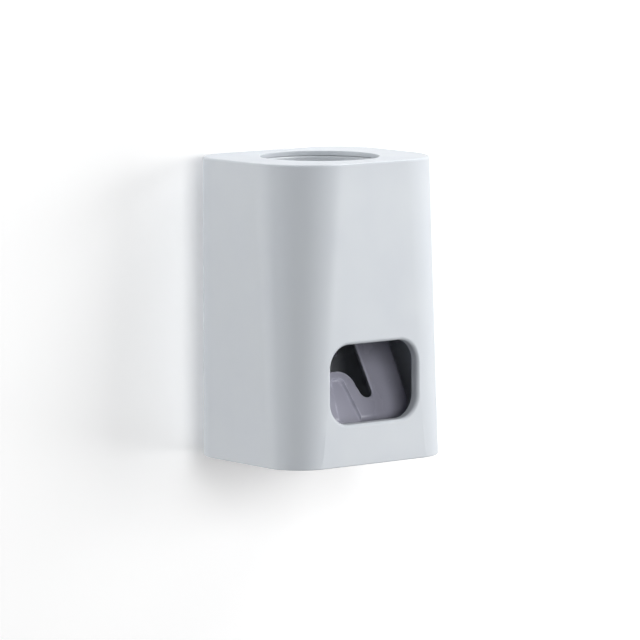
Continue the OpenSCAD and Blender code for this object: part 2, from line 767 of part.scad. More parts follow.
module nozzle() color(frame_colour) placed() pump_axis() {
    bore = nozzle_bore_d / 2;
    rim = socket_bore_r - socket_gap;
    top = nozzle_flange_z + nozzle_flange_t;
    funnel = sleeve_r - sleeve_t;
    rotate_extrude() polygon([
        [bore, nozzle_flange_z - nozzle_len], [bore + nozzle_wall, nozzle_flange_z - nozzle_len],
        [bore + nozzle_wall, nozzle_flange_z], [rim, nozzle_flange_z], [rim, top], [funnel, top],
        [bore, nozzle_flange_z + nozzle_flange_t / 3]]);
}

function cap_inner_r() = nozzle_bore_d / 2 + nozzle_wall + cap_gap;

module nozzle_retainer() color(frame_colour) placed() pump_axis() difference() {
    top = nozzle_flange_z - socket_gap;
    rod_z(socket_bore_r - press_fit_gap, top - retainer_t, top, 0, 0);
    rod_z(cap_inner_r() + cap_wall + fit_gap, top - retainer_t - cut, top + cut, 0, 0);
}

module outlet_valve() color(silicone_colour) placed() pump_axis() {
    top = nozzle_flange_z - nozzle_len - press_fit_gap;
    flange = nozzle_bore_d / 2 + nozzle_wall;
    foot = top - outlet_flange_t - cap_floor_t;
    difference() {
        union() {
            rod_z(flange, top - outlet_flange_t, top, 0, 0);
            rod_z(outlet_lip_r, foot, top - outlet_flange_t / 2, 0, 0);
            translate([0, 0, foot - outlet_lip_h])
                cylinder(h = outlet_lip_h, r1 = outlet_slit_w + seal_lip_r, r2 = outlet_lip_r);
        }
        rod_z(outlet_lip_r - seal_lip_r, foot, top + cut, 0, 0);
        block([-outlet_slit_w, -outlet_slit_w / 2, foot - outlet_lip_h - cut],
            [outlet_slit_w, outlet_slit_w / 2, foot + seat]);
    }
}

module nozzle_cap() color(frame_colour) placed() pump_axis() {
    top = nozzle_flange_z - retainer_t;
    floor_z = nozzle_flange_z - nozzle_len - press_fit_gap - outlet_flange_t - press_fit_gap;
    outer = cap_inner_r() + cap_wall;
    difference() {
        union() {
            rod_z(outer, floor_z - cap_floor_t, top, 0, 0);
            for (k = [1:cap_rib_count]) rotate([0, 0, 360 * k / cap_rib_count])
                rod_z(cap_rib_r, floor_z - cap_floor_t, floor_z + nozzle_len / 2, outer - cap_rib_r / 3, 0);
        }
        rod_z(cap_inner_r(), floor_z, top + cut, 0, 0);
        rod_z(outlet_lip_r + cap_gap, floor_z - cap_floor_t - cut, floor_z + cut, 0, 0);
    }
}

// Pivot, springs and stops
module pivot_pins() color(steel_colour) placed() both_sides() {
    head_x = web_x + web_t + pin_end_gap;
    rod_x(pivot_d / 2, cheek_x - pivot_boss_len, head_x + seat, pivot_y, pivot_z);
    rod_x(pin_head_r, head_x, head_x + pin_head_t, pivot_y, pivot_z);
}

// Path of a return spring: leg up, turns round the pin, leg down, as [x, angle, height above the turn]
function spring_path() = concat(
    [[spring_x, 0, spring_leg_up], [spring_x, 0, spring_leg_up / 2]],
    [for (k = [0:spring_turns * spring_steps])
        [spring_x + spring_pitch * k / spring_steps, 360 * k / spring_steps, 0]],
    [[spring_end_x, 0, -spring_leg_down / 2], [spring_end_x, 0, -spring_leg_down]]);
spring_end_x = spring_x + spring_pitch * spring_turns;
spring_self_gap = spring_pitch - 2 * spring_wire_r;
echo("least gap of a return spring to itself, mm", spring_self_gap);

function spring_ring(p) = [for (k = [0:spring_sides - 1])
    let (a = 360 * k / spring_sides, r = spring_r + spring_wire_r * cos(a))
    [p[0] - spring_wire_r * sin(a), pivot_y - r * cos(p[1]), pivot_z + p[2] - r * sin(p[1])]];

module return_springs() color(steel_colour) placed()
    both_sides() skin([for (p = spring_path()) spring_ring(p)]);

module stop_pads() color(rubber_colour) placed()
    both_sides() rod_y(stop_r, stop_post_y, stop_post_y + stop_t, stop_x, roller_z);

// Lever
module on_lever_plate() {
    translate([0, lever_setback - body_d, lever_foot_z]) rotate([-lever_lean, 0, 0]) children();
}

// Stands a flat outline up in the lever plate, with its front face at y = 0
module lever_slab(from, to, inset) {
    translate([0, to, 0]) rotate([90, 0, 0]) linear_extrude(height = to - from)
        polygon(lever_plan(inset));
}

// Section of the band that rounds the plate's front edge, as [inset, height above the back face]
function edge_section() = concat(
    [[0, 0]],
    [for (k = [0:edge_steps]) let (a = 90 * k / edge_steps)
        [lever_edge_r * (1 - cos(a)), lever_t - lever_edge_r * (1 - sin(a))]],
    [[lever_edge_r + seat, lever_t - seat], [lever_edge_r + seat, seat], [lever_edge_r, 0]]);

// Plate of the lever: a flat core inside a band that follows its outline
module lever_plate() {
    lever_slab(0, lever_t, lever_edge_r);
    translate([0, lever_t, 0]) rotate([90, 0, 0])
        skin([for (p = edge_section()) lift(lever_plan(p[0]), p[1])], closed = true);
}

// Shallow dish in the tongue, with sloping sides
module dish() {
    rotate([90, 0, 0]) skin([lift(dish_plan(-dish_depth / 2), -dish_depth),
        lift(dish_plan(dish_depth / 2), dish_depth)]);
}

function plate_y(along) = lever_setback - body_d + along * sin(lever_lean);
function plate_z(along) = lever_foot_z + along * cos(lever_lean);

// Side web from the lever plate up to the pivot eye
module lever_web() {
    low = lever_len / 2;
    high = lever_len - lever_edge_r;
    rear = [web_rear, -web_rear / 4];
    translate([web_x, 0, 0]) rotate([90, 0, 90]) linear_extrude(height = web_t) polygon([
        [plate_y(low) + lever_t / 2, plate_z(low)],
        [plate_y(low) + web_rear, plate_z(low)],
        [plate_y(high) + web_rear, plate_z(high)],
        [pivot_y + eye_r, pivot_z], [pivot_y - eye_r, pivot_z],
        [bar_front_y + bar_t, bar_z + bar_h], [bar_front_y + bar_t, bar_z + bar_h / 2],
        [plate_y(high) + lever_t / 2, plate_z(high)]]);
    rod_x(eye_r, web_x, web_x + web_t, pivot_y, pivot_z);
    rod_x(lug_r, web_x - peg_len, web_x + web_t / 2, peg_y(lug_r), lug_down_z);
}

module cross_bar() {
    block([-web_x - seat, bar_front_y, bar_z], [web_x + seat, bar_front_y + bar_t, bar_z + bar_h]);
    both_sides() {
        block([web_x, bar_front_y, bar_z], [web_x + web_t, bar_front_y + bar_t + seat, bar_z + bar_h]);
        block([ear_x, bar_front_y + bar_t - seat, roller_z - ear_r],
            [ear_x + ear_t, roller_y, roller_z + ear_r]);
        rod_x(ear_r, ear_x, ear_x + ear_t, roller_y, roller_z);
    }
}

module push_lever() color(lever_colour) placed() difference() {
    union() {
        on_lever_plate() {
            difference() {
                lever_plate();
                dish();
            }
            difference() {
                lever_slab(lever_t - seat, lever_t + lever_rim_d, 0);
                lever_slab(lever_t - cut, lever_t + lever_rim_d + cut, lever_rim_t);
            }
        }
        both_sides() lever_web();
        cross_bar();
    }
    both_sides() {
        rod_x(pivot_d / 2 + running_gap, web_x - cut, web_x + web_t + cut, pivot_y, pivot_z);
        rod_x(roller_pin_r + press_fit_gap, ear_x - cut, ear_x + ear_t + cut, roller_y, roller_z);
    }
}

module roller_pin() color(steel_colour) placed()
    rod_x(roller_pin_r, -ear_x - ear_t, ear_x + ear_t, roller_y, roller_z);

module press_roller() color(silicone_colour) placed() difference() {
    rod_x(roller_r, -roller_half_len, roller_half_len, roller_y, roller_z);
    rod_x(roller_pin_r + running_gap, -roller_half_len - cut, roller_half_len + cut,
        roller_y, roller_z);
}

wall_plate();
adhesive_pad();
outer_shell();
rear_cover();
rear_cover_screws();
bottom_cover();
tube_guide();
core_frame();
neck_seal();
seal_ring();
valve_seat();
inlet_valve();
sleeve_clamp();
pump_sleeve();
nozzle();
nozzle_retainer();
outlet_valve();
nozzle_cap();
pivot_pins();
return_springs();
stop_pads();
push_lever();
roller_pin();
press_roller();
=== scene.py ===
# Toothpaste dispenser for the wall: a satin grey housing with a round hole for the tube on top and a
# window low in front, behind which a lever squeezes the pump when a toothbrush is pushed in.
import math

import bmesh
import bpy
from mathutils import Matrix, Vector


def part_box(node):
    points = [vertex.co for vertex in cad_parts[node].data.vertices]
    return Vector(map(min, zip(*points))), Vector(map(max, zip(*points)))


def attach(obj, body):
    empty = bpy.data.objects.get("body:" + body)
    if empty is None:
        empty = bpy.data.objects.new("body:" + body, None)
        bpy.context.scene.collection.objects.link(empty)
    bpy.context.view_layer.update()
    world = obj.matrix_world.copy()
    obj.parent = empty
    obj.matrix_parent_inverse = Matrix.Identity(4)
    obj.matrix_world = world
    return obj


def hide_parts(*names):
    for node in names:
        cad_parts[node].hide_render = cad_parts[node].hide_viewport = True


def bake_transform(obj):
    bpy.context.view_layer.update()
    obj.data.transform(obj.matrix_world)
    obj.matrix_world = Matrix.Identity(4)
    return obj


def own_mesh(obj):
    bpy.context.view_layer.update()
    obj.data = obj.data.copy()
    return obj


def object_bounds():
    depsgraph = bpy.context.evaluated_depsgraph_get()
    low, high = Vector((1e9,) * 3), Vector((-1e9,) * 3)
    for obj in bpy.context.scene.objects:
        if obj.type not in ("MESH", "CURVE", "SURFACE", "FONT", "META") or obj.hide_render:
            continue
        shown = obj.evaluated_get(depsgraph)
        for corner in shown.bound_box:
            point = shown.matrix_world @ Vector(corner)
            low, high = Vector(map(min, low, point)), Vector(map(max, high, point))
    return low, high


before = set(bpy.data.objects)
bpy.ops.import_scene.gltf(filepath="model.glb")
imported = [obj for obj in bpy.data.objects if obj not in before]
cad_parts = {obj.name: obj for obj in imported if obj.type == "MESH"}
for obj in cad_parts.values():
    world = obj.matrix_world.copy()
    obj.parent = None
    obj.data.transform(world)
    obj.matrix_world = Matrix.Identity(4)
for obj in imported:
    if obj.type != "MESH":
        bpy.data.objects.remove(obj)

cad_low, cad_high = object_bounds()
bpy.ops.object.select_all(action="DESELECT")

# Wall plate and adhesive pad
# A dovetail plate moulded in the housing's grey plastic, stuck to the tiles by a foam pad or held by
# two countersunk screws. It stays on the wall when the housing is lifted off.
mm = 0.001
weld_gap = 0.002 * mm
edge_angle = 35


def new_material(slot):
    """Material of a slot, with its node tree and shader."""
    material = bpy.data.materials.new(slot)
    material.use_nodes = True
    return material, material.node_tree, material.node_tree.nodes["Principled BSDF"]


def node_in(tree, kind, values=(), **settings):
    """Node of a kind, with its settings, and values or links for the inputs that it names."""
    node = tree.nodes.new(kind)
    for name, value in settings.items():
        setattr(node, name, value)
    for socket, value in dict(values).items():
        if isinstance(value, bpy.types.NodeSocket):
            tree.links.new(value, node.inputs[socket])
        else:
            node.inputs[socket].default_value = value
    return node


def mixed_colour(tree, share, low, high):
    """Colour between two others, by a share that changes over the surface."""
    mix = node_in(tree, "ShaderNodeMix", data_type="RGBA")
    for socket, value in zip([mix.inputs[0], mix.inputs[6], mix.inputs[7]], [share, low, high]):
        if isinstance(value, bpy.types.NodeSocket):
            tree.links.new(value, socket)
        else:
            socket.default_value = value
    return mix.outputs[2]


def effect(name, inputs, outputs):
    """Node group for an effect that several materials use, with the nodes at its two ends."""
    tree = bpy.data.node_groups.new(name, "ShaderNodeTree")
    for socket, value in inputs.items():
        added = tree.interface.new_socket(socket, in_out="INPUT", socket_type="NodeSocketFloat")
        added.default_value = value
    for socket in outputs:
        tree.interface.new_socket(socket, in_out="OUTPUT", socket_type="NodeSocketFloat")
    return tree, tree.nodes.new("NodeGroupInput"), tree.nodes.new("NodeGroupOutput")


def linear(colour):
    """Screen colour from 0 to 1 as the linear light that a shader takes."""
    return [*[((c + 0.055) / 1.055) ** 2.4 for c in colour], 1]


# Fine spark-eroded texture of a mould, with the faint clouding of the plastic
grain, grain_in, grain_out = effect(
    "moulded_grain", {"Grain": 2500.0, "Cloud": 60.0}, ["Height", "Clouding"])
grain_coords = node_in(grain, "ShaderNodeTexCoord")
fine = node_in(grain, "ShaderNodeTexNoise", {
    "Vector": grain_coords.outputs["Object"], "Scale": grain_in.outputs["Grain"], "Detail": 3.0})
cloud = node_in(grain, "ShaderNodeTexNoise", {
    "Vector": grain_coords.outputs["Object"], "Scale": grain_in.outputs["Cloud"], "Detail": 4.0})
clouding = node_in(grain, "ShaderNodeMapRange", {
    "Value": cloud.outputs["Fac"], "From Min": 0.3, "From Max": 0.7})
grain.links.new(fine.outputs["Fac"], grain_out.inputs["Height"])
grain.links.new(clouding.outputs["Result"], grain_out.inputs["Clouding"])

# Lighter scuffed edges, and on the lever a wide band of painted highlight: how far a rounded normal
# departs from the true one, broken up by a noise
wear_and_highlight, wear_and_highlight_in, wear_and_highlight_out = effect("rubbed_and_highlit_edges", {"Width": 0.0006, "Patches": 160.0}, ["Rubbed"])
round_normal = node_in(wear_and_highlight, "ShaderNodeBevel", {"Radius": wear_and_highlight_in.outputs["Width"]}, samples=4)
true_normal = node_in(wear_and_highlight, "ShaderNodeNewGeometry")
likeness = node_in(wear_and_highlight, "ShaderNodeVectorMath", {
    0: round_normal.outputs["Normal"], 1: true_normal.outputs["Normal"]}, operation="DOT_PRODUCT")
edge = node_in(wear_and_highlight, "ShaderNodeMapRange", {
    "Value": likeness.outputs["Value"], "From Min": 0.99, "From Max": 0.8})
wear_coords = node_in(wear_and_highlight, "ShaderNodeTexCoord")
patches = node_in(wear_and_highlight, "ShaderNodeTexNoise", {
    "Vector": wear_coords.outputs["Object"], "Scale": wear_and_highlight_in.outputs["Patches"], "Detail": 2.0})
broken = node_in(wear_and_highlight, "ShaderNodeMapRange", {
    "Value": patches.outputs["Fac"], "From Min": 0.35, "From Max": 0.6})
rubbed_and_lit = node_in(wear_and_highlight, "ShaderNodeMath", {
    0: edge.outputs["Result"], 1: broken.outputs["Result"]}, operation="MULTIPLY")
wear_and_highlight.links.new(rubbed_and_lit.outputs["Value"], wear_and_highlight_out.inputs["Rubbed"])


def surface(tree, shader, colour, roughness, normal):
    """Links what changes over a surface to the shader of its material."""
    for socket, output in (("Base Color", colour), ("Roughness", roughness), ("Normal", normal)):
        tree.links.new(output, shader.inputs[socket])


def moulded(slot, colour, cloudy, worn_and_highlit, dullness, grain_size, grain_depth, edge_width):
    """Moulded plastic or rubber, from its colour, clouding, lighter scuffed edges and surface; on the
    lever those edges are a painted highlight.
    """
    material, tree, shader = new_material(slot)
    texture = node_in(tree, "ShaderNodeGroup", node_tree=grain)
    texture.inputs["Grain"].default_value = 1 / grain_size
    edges = node_in(tree, "ShaderNodeGroup", node_tree=wear_and_highlight)
    edges.inputs["Width"].default_value = edge_width
    clouded = mixed_colour(tree, texture.outputs["Clouding"], linear(colour), linear(cloudy))
    # Lighter colour at the edges: scuffing, and on the lever a painted highlight
    finished = mixed_colour(tree, edges.outputs["Rubbed"], clouded, linear(worn_and_highlit))
    roughness = node_in(tree, "ShaderNodeMapRange", {
        "Value": texture.outputs["Clouding"], "To Min": dullness[0], "To Max": dullness[1]})
    bump = node_in(tree, "ShaderNodeBump", {
        "Height": texture.outputs["Height"], "Distance": grain_depth, "Strength": 0.6})
    surface(tree, shader, finished, roughness.outputs["Result"], bump.outputs["Normal"])
    return material


def dress(node, material, edge_radius):
    """Gives a CAD node its material, joins its loose triangles and rounds its edges slightly."""
    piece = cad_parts[node]
    piece.data.materials.clear()
    piece.data.materials.append(material)
    joined = piece.modifiers.new("joined", "WELD")
    joined.merge_threshold = weld_gap
    rounded = piece.modifiers.new("rounded", "BEVEL")
    rounded.width = edge_radius
    rounded.segments = 2
    rounded.limit_method = "ANGLE"
    rounded.angle_limit = math.radians(edge_angle)
    rounded.harden_normals = True


housing_plastic = moulded(
    "housing_plastic", colour=(0.80, 0.82, 0.84), cloudy=(0.79, 0.81, 0.835), worn_and_highlit=(0.85, 0.865, 0.88),
    dullness=(0.38, 0.46), grain_size=0.4 * mm, grain_depth=0.012 * mm, edge_width=0.5 * mm)
dress("wall_plate", housing_plastic, 0.3 * mm)

# Closed-cell foam: dark, dull and full of fine pores
adhesive_foam, foam_tree, foam_shader = new_material("adhesive_foam")
foam_coords = node_in(foam_tree, "ShaderNodeTexCoord")
pores = node_in(foam_tree, "ShaderNodeTexVoronoi", {
    "Vector": foam_coords.outputs["Object"], "Scale": 2200.0})
foam_bump = node_in(foam_tree, "ShaderNodeBump", {
    "Height": pores.outputs["Distance"], "Distance": 0.1 * mm})
foam_colour = mixed_colour(
    foam_tree, pores.outputs["Distance"], linear((0.30, 0.30, 0.31)), linear((0.44, 0.44, 0.45)))
foam_dullness = node_in(foam_tree, "ShaderNodeMapRange", {
    "Value": pores.outputs["Distance"], "To Min": 0.8, "To Max": 0.95})
surface(foam_tree, foam_shader, foam_colour, foam_dullness.outputs["Result"],
        foam_bump.outputs["Normal"])
dress("adhesive_pad", adhesive_foam, 0.1 * mm)

# Rear cover, its screws and the tube guide
# The cover carries the dovetail channel and closes the back, held to the core frame by four self-tapping
# screws of zinc-plated steel. The guide is a sleeve under the hole that keeps the tube upright.
dress("rear_cover", housing_plastic, 0.25 * mm)
dress("tube_guide", housing_plastic, 0.2 * mm)

# Bright steel with the fine marks of drawing and tumbling
steel, steel_tree, steel_shader = new_material("steel")
steel_shader.inputs["Metallic"].default_value = 1
steel_coords = node_in(steel_tree, "ShaderNodeTexCoord")
drawn = node_in(steel_tree, "ShaderNodeMapping", {
    "Vector": steel_coords.outputs["Object"], "Scale": (300.0, 2500.0, 2500.0)})
marks = node_in(steel_tree, "ShaderNodeTexNoise", {
    "Vector": drawn.outputs["Vector"], "Scale": 1.0, "Detail": 4.0})
steel_colour = mixed_colour(
    steel_tree, marks.outputs["Fac"], linear((0.72, 0.73, 0.75)), linear((0.84, 0.85, 0.86)))
steel_dullness = node_in(steel_tree, "ShaderNodeMapRange", {
    "Value": marks.outputs["Fac"], "To Min": 0.22, "To Max": 0.42})
steel_bump = node_in(steel_tree, "ShaderNodeBump", {
    "Height": marks.outputs["Fac"], "Distance": 0.01 * mm, "Strength": 0.5})
surface(steel_tree, steel_shader, steel_colour, steel_dullness.outputs["Result"],
        steel_bump.outputs["Normal"])
dress("rear_cover_screws", steel, 0.1 * mm)

# Core frame, bottom cover, rings and nozzle
# Mouldings in dark purple-grey plastic that hides the works: the frame holds the pump and the pivot, the
# cover snaps into the foot, and rings screwed or pressed in hold the seals, the sleeve and the nozzle.
inner_plastic = moulded(
    "inner_plastic", colour=(0.30, 0.29, 0.34), cloudy=(0.28, 0.27, 0.32), worn_and_highlit=(0.36, 0.35, 0.40),
    dullness=(0.42, 0.55), grain_size=0.5 * mm, grain_depth=0.015 * mm, edge_width=0.4 * mm)
for node, edge_radius in [
        ("core_frame", 0.25 * mm), ("bottom_cover", 0.3 * mm), ("seal_ring", 0.25 * mm),
        ("valve_seat", 0.1 * mm), ("sleeve_clamp", 0.15 * mm), ("nozzle", 0.2 * mm),
        ("nozzle_retainer", 0.15 * mm), ("nozzle_cap", 0.15 * mm)]:
    dress(node, inner_plastic, edge_radius)

# Seals and valves
# The neck seal, the umbrella valve and the duckbill are milky silicone, moulded and slightly
# translucent, which stretch over their seats and are held by rings.
silicone = moulded(
    "silicone", colour=(0.86, 0.86, 0.84), cloudy=(0.83, 0.83, 0.81), worn_and_highlit=(0.88, 0.88, 0.86),
    dullness=(0.5, 0.6), grain_size=0.3 * mm, grain_depth=0.008 * mm, edge_width=0.4 * mm)
silicone_shader = silicone.node_tree.nodes["Principled BSDF"]
silicone_shader.inputs["Subsurface Weight"].default_value = 0.25
silicone_shader.inputs["Subsurface Scale"].default_value = 2 * mm
for node, edge_radius in [
        ("neck_seal", 0.4 * mm), ("inlet_valve", 0.15 * mm), ("outlet_valve", 0.15 * mm)]:
    dress(node, silicone, edge_radius)

# Housing
# One deep moulding with a satin mould texture. Its front corners grow rounder towards the top, and a
# sharp crease runs up from the foot beside each of them, along a narrow flat, and fades half way up.
shell_low, shell_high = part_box("outer_shell")
guide_low, guide_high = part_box("tube_guide")
half_w = shell_high.x
back_y = shell_high.y
front_y = shell_low.y
foot_z = shell_low.z
top_z = shell_high.z
pump_y = (guide_low.y + guide_high.y) / 2
overrun = 1 * mm
wall = 2.6 * mm
top_t = 1.7 * mm
back_corner_r = 17.4 * mm
front_corner_foot_r = 14.9 * mm
front_corner_top_r = 23.5 * mm
crease_angle = 10
crease_h = 55 * mm
crease_facet = 1.5 * mm
crease_levels = 10
front_steps = 30
back_steps = 24
same_place = 0.01 * mm
mirror_gap = 0.005 * mm
point_gap = 0.001 * mm
plan_axis = (0, 0, -1)     # a round stretch about it runs anticlockwise, seen from above
front_axis = (0, 1, 0)     # the same, seen from the front
side_axis = (-1, 0, 0)     # the same, seen from the right


def new_piece(name):
    """Empty mesh of a new piece, open in edit mode."""
    bpy.ops.object.select_all(action="DESELECT")
    bpy.ops.mesh.primitive_plane_add(size=mm)
    piece = bpy.context.object
    piece.name = piece.data.name = name
    bpy.ops.object.mode_set(mode="EDIT")
    bpy.ops.mesh.select_all(action="SELECT")
    bpy.ops.mesh.delete(type="VERT")
    return piece


def start_at(x, y, z):
    """First point of an outline, added to the mesh that is open."""
    bpy.ops.mesh.select_mode(type="VERT")
    bpy.ops.mesh.select_all(action="DESELECT")
    bpy.ops.mesh.primitive_plane_add(size=mm, location=(0, 0, 0))
    bpy.ops.mesh.merge(type="CENTER")
    bpy.ops.transform.translate(value=(x, y, z))


def run(x, y, z):
    """Straight stretch of an outline."""
    bpy.ops.mesh.extrude_vertices_move(TRANSFORM_OT_translate={"value": (x, y, z)})


def turn(centre, degrees, steps, axis):
    """Round stretch of an outline about a centre."""
    bpy.ops.mesh.spin(steps=steps, angle=math.radians(degrees), center=centre, axis=axis)


def housing_outline(height, inset):
    """Right half of the housing's plan at a height above its foot, from the front to the back."""
    z = foot_z + height
    r = front_corner_foot_r + (front_corner_top_r - front_corner_foot_r) * height / (top_z - foot_z)
    crease = math.radians(crease_angle * max(0, 1 - height / crease_h))
    reach = r * math.cos(crease) + crease_facet * math.sin(crease)
    centre_x = half_w - r
    centre_y = front_y + reach
    facet_end_x = centre_x + r * math.sin(crease)
    crease_x = facet_end_x - crease_facet * math.cos(crease) - inset * math.tan(crease / 2)
    start_at(0, front_y + inset, z)
    run(crease_x, 0, 0)
    run(centre_x + (r - inset) * math.sin(crease) - crease_x,
        reach - inset - (r - inset) * math.cos(crease), 0)
    turn((centre_x, centre_y, z), 90 - math.degrees(crease), front_steps, plan_axis)
    run(0, back_y - back_corner_r - centre_y, 0)
    turn((half_w - back_corner_r, back_y - back_corner_r, z), 90, back_steps, plan_axis)
    run(back_corner_r - half_w, 0, 0)


def pick(piece, kind, test):
    """Selects the vertices, edges or faces whose points all pass a test."""
    bpy.ops.mesh.select_mode(type=kind)
    bpy.ops.mesh.select_all(action="DESELECT")
    mesh = bmesh.from_edit_mesh(piece.data)
    for item in {"VERT": mesh.verts, "EDGE": mesh.edges, "FACE": mesh.faces}[kind]:
        if all(test(v.co) for v in ([item] if kind == "VERT" else item.verts)):
            item.select_set(True)
    bmesh.update_edit_mesh(piece.data)


def bridge():
    """Joins the outlines that are not yet joined, and hides them from the next ones."""
    bpy.ops.mesh.select_mode(type="EDGE")
    bpy.ops.mesh.select_all(action="SELECT")
    bpy.ops.mesh.bridge_edge_loops()
    bpy.ops.mesh.hide()


def fill(piece, test):
    """Flat face inside the open edge whose points pass a test."""
    pick(piece, "EDGE", test)
    bpy.ops.mesh.edge_face_add()


def near(a, b):
    """Whether two places agree."""
    return abs(a - b) < same_place


def modify(piece, kind, **settings):
    """Adds a modifier and applies it."""
    modifier = piece.modifiers.new(kind, kind)
    for name, value in settings.items():
        setattr(modifier, name, value)
    bpy.context.view_layer.objects.active = piece
    bpy.ops.object.modifier_apply(modifier=modifier.name)


def mirror(piece):
    """Closes the edit of a right half and adds its left half."""
    bpy.ops.mesh.reveal(select=False)
    bpy.ops.object.mode_set(mode="OBJECT")
    modify(piece, "MIRROR", merge_threshold=mirror_gap)
    bpy.ops.object.mode_set(mode="EDIT")


def close(piece):
    """Merges what touches, turns the faces outwards and leaves edit mode."""
    bpy.ops.mesh.reveal(select=False)
    bpy.ops.mesh.select_all(action="SELECT")
    bpy.ops.mesh.remove_doubles(threshold=weld_gap)
    bpy.ops.mesh.normals_make_consistent(inside=False)
    bpy.ops.object.mode_set(mode="OBJECT")
    return piece


def combine(piece, other, how):
    """Adds another shape to a piece, or takes it away, and removes that shape."""
    modify(piece, "BOOLEAN", object=other, operation=how, solver="EXACT")
    bpy.data.objects.remove(other)


def select_only(piece):
    """Makes a piece the one that object operators work on."""
    bpy.ops.object.select_all(action="DESELECT")
    piece.select_set(True)
    bpy.context.view_layer.objects.active = piece


def settle(piece):
    """Puts a piece's place, turn and scale into its mesh."""
    select_only(piece)
    bpy.ops.object.transform_apply(location=True, rotation=True, scale=True)
    return piece


def block(corner, opposite):
    """Box between two opposite corners."""
    corner, opposite = Vector(corner), Vector(opposite)
    bpy.ops.mesh.primitive_cube_add(
        size=1, location=(corner + opposite) / 2, scale=[abs(side) for side in opposite - corner])
    return settle(bpy.context.object)


def rod(axis, r, start, length, vertices=48):
    """Round bar along an axis, from the middle of its end."""
    way = Vector(axis)
    bpy.ops.mesh.primitive_cylinder_add(
        vertices=vertices, radius=r, depth=length, location=Vector(start) + way * length / 2,
        rotation=way.to_track_quat("Z", "Y").to_euler())
    return settle(bpy.context.object)


def revolve(name, points, steps):
    """Solid of revolution about the pump's axis, from the radii and heights of its section."""
    piece = new_piece(name)
    start_at(points[0][0], pump_y, points[0][1])
    for before, after in zip(points, points[1:] + points[:1]):
        run(after[0] - before[0], 0, after[1] - before[1])
    bpy.ops.mesh.select_all(action="SELECT")
    bpy.ops.mesh.remove_doubles(threshold=point_gap)
    bpy.ops.mesh.select_all(action="SELECT")
    bpy.ops.mesh.spin(steps=steps, angle=math.tau, center=(0, pump_y, 0), axis=(0, 0, 1))
    return close(piece)


def seal(piece):
    """Removes loose faces and fills the slivers that cuts leave open, and stays in edit mode."""
    bpy.context.view_layer.objects.active = piece
    bpy.ops.object.mode_set(mode="EDIT")
    bpy.ops.mesh.select_all(action="SELECT")
    bpy.ops.mesh.delete_loose(use_faces=True)
    bpy.ops.mesh.select_all(action="SELECT")
    bpy.ops.mesh.fill_holes(sides=0)


def smooth(piece, degrees):
    """Smooth shading between faces that meet at less than an angle, led by the large faces."""
    select_only(piece)
    bpy.ops.object.shade_smooth_by_angle(angle=math.radians(degrees), keep_sharp_edges=True)
    modify(piece, "WEIGHTED_NORMAL", keep_sharp=True, weight=100)


top_edge_r = 1 * mm
top_edge_steps = 5
foot_edge_r = 0.5 * mm
foot_edge_steps = 3
shell_h = top_z - foot_z
shell = new_piece("housing_shell")
for k in range(crease_levels + 1):
    housing_outline(crease_h * k / crease_levels, 0)
housing_outline(shell_h, 0)
bridge()
for level in (0, crease_h, shell_h - top_t):
    housing_outline(level, wall)
bridge()
mirror(shell)
fill(shell, lambda p: near(p.z, top_z))
fill(shell, lambda p: near(p.z, top_z - top_t))
pick(shell, "EDGE", lambda p: near(p.z, foot_z))
bpy.ops.mesh.bridge_edge_loops()
close(shell)
bpy.ops.object.mode_set(mode="EDIT")
pick(shell, "EDGE", lambda p: near(p.z, top_z))
bpy.ops.mesh.bevel(offset=top_edge_r, segments=top_edge_steps, affect="EDGES")
pick(shell, "EDGE", lambda p: near(p.z, foot_z))
bpy.ops.mesh.bevel(offset=foot_edge_r, segments=foot_edge_steps, affect="EDGES")
bpy.ops.object.mode_set(mode="OBJECT")

# Window with a rounded rim in front and a collar behind it
window_w = 40.4 * mm
window_h = 29 * mm
window_r = 8.5 * mm
window_foot = 15.3 * mm
window_edge_r = 1.3 * mm
window_depth = 3.5 * mm
window_steps = 16
window_edge_steps = 6
collar_t = 1.4 * mm


def window_outline(grow, y):
    """Right half of the window's outline, grown on every side, at a depth."""
    low = foot_z + window_foot
    reach = window_w / 2 - window_r
    start_at(0, y, low - grow)
    run(reach, 0, 0)
    turn((reach, y, low + window_r), 90, window_steps, front_axis)
    run(0, 0, window_h - 2 * window_r)
    turn((reach, y, low + window_h - window_r), 90, window_steps, front_axis)
    run(-reach, 0, 0)


def cap(piece, ends):
    """Flat faces over the two ends of a shape that was drawn from the front."""
    for end in ends:
        fill(piece, lambda p: near(p.y, end))


def window_solid(name, sections):
    """Solid through outlines of the window, each with its growth and depth."""
    piece = new_piece(name)
    for grow, y in sections:
        window_outline(grow, y)
    bridge()
    mirror(piece)
    cap(piece, (sections[0][1], sections[-1][1]))
    return close(piece)


def quarter(steps):
    """Angles through a quarter turn, in equal steps."""
    return [math.radians(90 * k / steps) for k in range(steps + 1)]


collar = window_solid("collar", [(collar_t, front_y + window_depth), (collar_t, front_y + wall / 2)])
combine(shell, collar, "UNION")
opening = window_solid("opening", [
    (0, front_y + window_depth + overrun),
    *[(window_edge_r * (1 - math.cos(a)), front_y + window_edge_r * (1 - math.sin(a)))
      for a in quarter(window_edge_steps)],
    (window_edge_r, front_y - overrun)])
combine(shell, opening, "DIFFERENCE")

